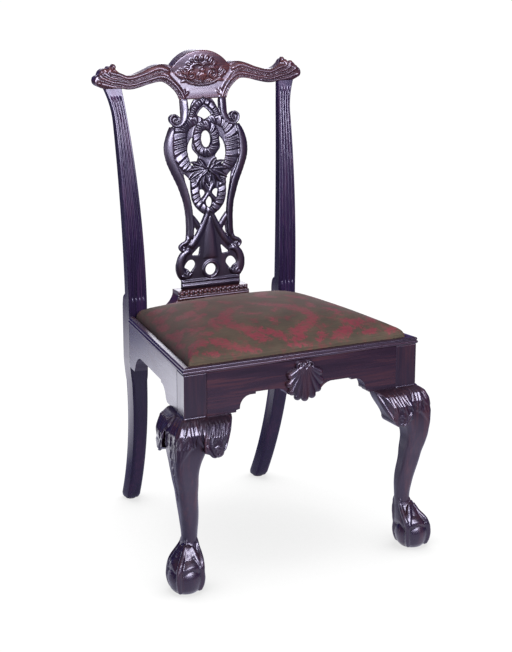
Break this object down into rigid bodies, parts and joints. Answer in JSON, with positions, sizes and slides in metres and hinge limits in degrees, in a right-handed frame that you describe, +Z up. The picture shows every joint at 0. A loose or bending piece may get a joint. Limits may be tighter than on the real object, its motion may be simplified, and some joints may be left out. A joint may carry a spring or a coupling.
{
  "type": "side chair",
  "caption": "Georgian-style mahogany side chair with a pierced ribbon splat, cabriole legs on ball-and-claw feet and a drop-in damask seat that lifts out",
  "frame": {"origin": "Middle of the bounding box at floor level.", "axes": "Z is up and the chair's longest extent. The chair faces -Y, with its back at +Y. X runs across the seat; left and right are as a person in front of the chair sees them, left at -X."},
  "size_m": [0.585, 0.5605, 0.993],
  "materials": {
    "mahogany": "dark French-polished mahogany",
    "beech": "plain unpolished beech",
    "steel": "plain steel, lightly dulled",
    "webbing": "woven jute webbing",
    "hessian": "plain hessian",
    "stuffing": "hair stuffing under wadding",
    "damask": "crimson and olive-brown damask",
    "dust_cloth": "black dust cloth"
  },
  "bodies": {
    "frame": {"front_leg_left": "mahogany", "front_leg_right": "mahogany", "rear_post_left": "mahogany", "rear_post_right": "mahogany", "knee_bracket_front_left": "mahogany", "knee_bracket_front_right": "mahogany", "knee_bracket_side_left": "mahogany", "knee_bracket_side_right": "mahogany", "side_seat_rail_left": "mahogany", "side_seat_rail_right": "mahogany", "side_rail_lip_left": "mahogany", "side_rail_lip_right": "mahogany", "corner_block_front_left": "beech", "corner_block_front_right": "beech", "corner_block_rear_left": "beech", "corner_block_rear_right": "beech", "front_seat_rail": "mahogany", "rear_seat_rail": "mahogany", "front_rail_lip": "mahogany", "apron_shell": "mahogany", "splat_shoe": "mahogany", "back_splat": "mahogany", "crest_rail": "mahogany", "corner_block_screws": "steel", "rear_foot_glides": "steel"},
    "slip_seat": {"seat_frame_front": "beech", "seat_frame_rear": "beech", "seat_frame_left": "beech", "seat_frame_right": "beech", "seat_webbing": "webbing", "seat_hessian": "hessian", "seat_padding": "stuffing", "seat_cover": "damask", "seat_dust_cover": "dust_cloth", "seat_tacks": "steel"}
  },
  "joints": [
    {"name": "seat_lift", "type": "slide", "parent": "frame", "child": "slip_seat", "axis": [0, 0, 1], "range_m": [0, 0.12]}
  ]
}
